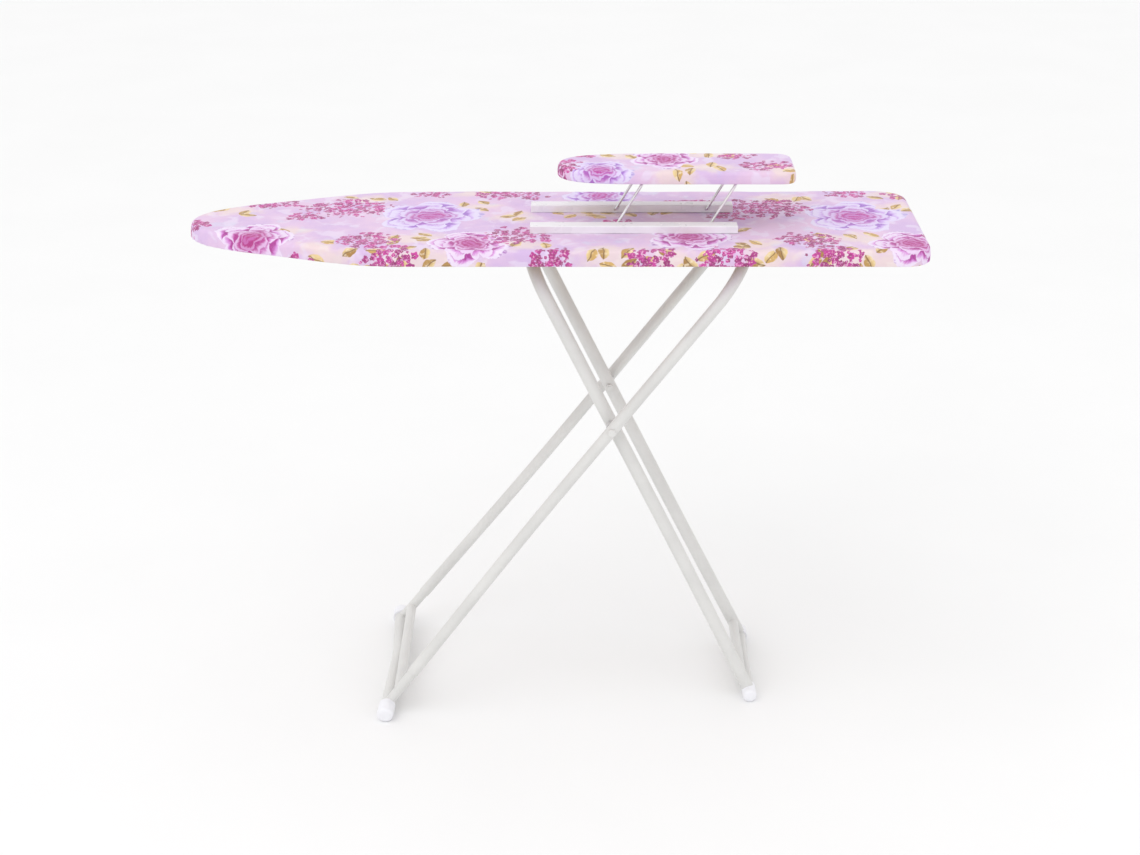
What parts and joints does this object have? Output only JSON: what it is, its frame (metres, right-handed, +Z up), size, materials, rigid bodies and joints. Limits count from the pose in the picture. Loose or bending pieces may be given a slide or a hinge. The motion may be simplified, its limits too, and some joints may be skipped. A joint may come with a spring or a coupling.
{
  "type": "ironing board",
  "caption": "Folding ironing board on scissor legs, padded printed cover, with a small sleeve board on wire bails that folds down onto two rails.",
  "frame": {"origin": "on the floor, under the middle of the board, legs set up", "axes": "+X from the pointed nose to the square tail, +Y across the board away from the side shown in the picture, +Z up"},
  "size_m": [1.1, 0.3554, 0.864],
  "materials": {
    "cover_cloth": "printed cotton, rose pattern on lilac",
    "foam_pad": "soft foam",
    "fibreboard": "raw fibreboard",
    "white_legs": "white powder coat",
    "white_caps": "moulded white plastic",
    "zinc_steel": "zinc plated",
    "bail_wire": "bright plated wire",
    "clear_rail": "milky white plastic",
    "grey_lock": "moulded light grey plastic",
    "spacer_nylon": "nylon"
  },
  "bodies": {
    "board": {"board_panel": "fibreboard", "board_pad": "foam_pad", "board_cover": "cover_cloth", "height_rack": "zinc_steel", "height_rack_screws": "zinc_steel", "hinge_saddle_front": "zinc_steel", "hinge_saddle_back": "zinc_steel", "hinge_saddle_screws": "zinc_steel", "guide_rod_front": "white_legs", "guide_rod_back": "white_legs", "guide_rod_screws": "zinc_steel"},
    "outer_leg": {"outer_leg_tube": "white_legs", "outer_leg_insert_front": "white_legs", "outer_leg_insert_back": "white_legs", "outer_leg_brace": "white_legs", "outer_foot_bar": "white_legs", "outer_foot_cap_front": "white_caps", "outer_foot_cap_back": "white_caps", "pivot_bolt_front": "white_legs", "pivot_bolt_back": "white_legs", "pivot_spacer_front": "spacer_nylon", "pivot_spacer_back": "spacer_nylon", "pivot_nut_front": "white_legs", "pivot_nut_back": "white_legs"},
    "inner_leg": {"inner_leg_tube": "white_legs", "inner_leg_brace": "white_legs", "inner_foot_bar": "white_legs", "inner_foot_cap_front": "white_caps", "inner_foot_cap_back": "white_caps"},
    "lock": {"lock_lever": "grey_lock"},
    "sleeve_base": {"sleeve_rail_front": "clear_rail", "sleeve_rail_back": "clear_rail"},
    "bail_nose": {"sleeve_bail_nose": "bail_wire"},
    "bail_tail": {"sleeve_bail_tail": "bail_wire"},
    "sleeve_board": {"sleeve_panel": "fibreboard", "sleeve_pad": "foam_pad", "sleeve_cover": "cover_cloth", "sleeve_clips_nose": "zinc_steel", "sleeve_clips_tail": "zinc_steel", "sleeve_clip_screws": "zinc_steel"}
  },
  "joints": [
    {"name": "leg_fold", "type": "hinge", "parent": "board", "child": "outer_leg", "pos_m": [0.28848, 0, 0.736], "axis": [0, 1, 0], "range_deg": [0, 48.87]},
    {"name": "scissor_pivot", "type": "hinge", "parent": "outer_leg", "child": "inner_leg", "pos_m": [0.0864, 0, 0.4739], "axis": [0, 1, 0], "range_deg": [-110.9, 0]},
    {"name": "lock_turn", "type": "hinge", "parent": "inner_leg", "child": "lock", "pos_m": [-0.03614, 0, 0.725], "axis": [0, 1, 0], "range_deg": [0, 45]},
    {"name": "sleeve_lift", "type": "slide", "parent": "board", "child": "sleeve_base", "axis": [0, 0, 1], "range_m": [0, 0.12]},
    {"name": "sleeve_fold", "type": "hinge", "parent": "sleeve_base", "child": "bail_nose", "pos_m": [0.092, 0, 0.779], "axis": [0, 1, 0], "range_deg": [-117.4, 0]},
    {"name": "tail_bail_pivot", "type": "hinge", "parent": "sleeve_base", "child": "bail_tail", "pos_m": [0.231, 0, 0.779], "axis": [0, 1, 0], "range_deg": [-117.4, 0]},
    {"name": "sleeve_level", "type": "hinge", "parent": "bail_nose", "child": "sleeve_board", "pos_m": [0.1301, 0, 0.8425], "axis": [0, 1, 0], "range_deg": [0, 117.4]}
  ],
  "couplings": [
    {"joint": "scissor_pivot", "follows": "leg_fold", "ratio": -2.2685},
    {"joint": "tail_bail_pivot", "follows": "sleeve_fold", "ratio": 1},
    {"joint": "sleeve_level", "follows": "sleeve_fold", "ratio": -1}
  ]
}
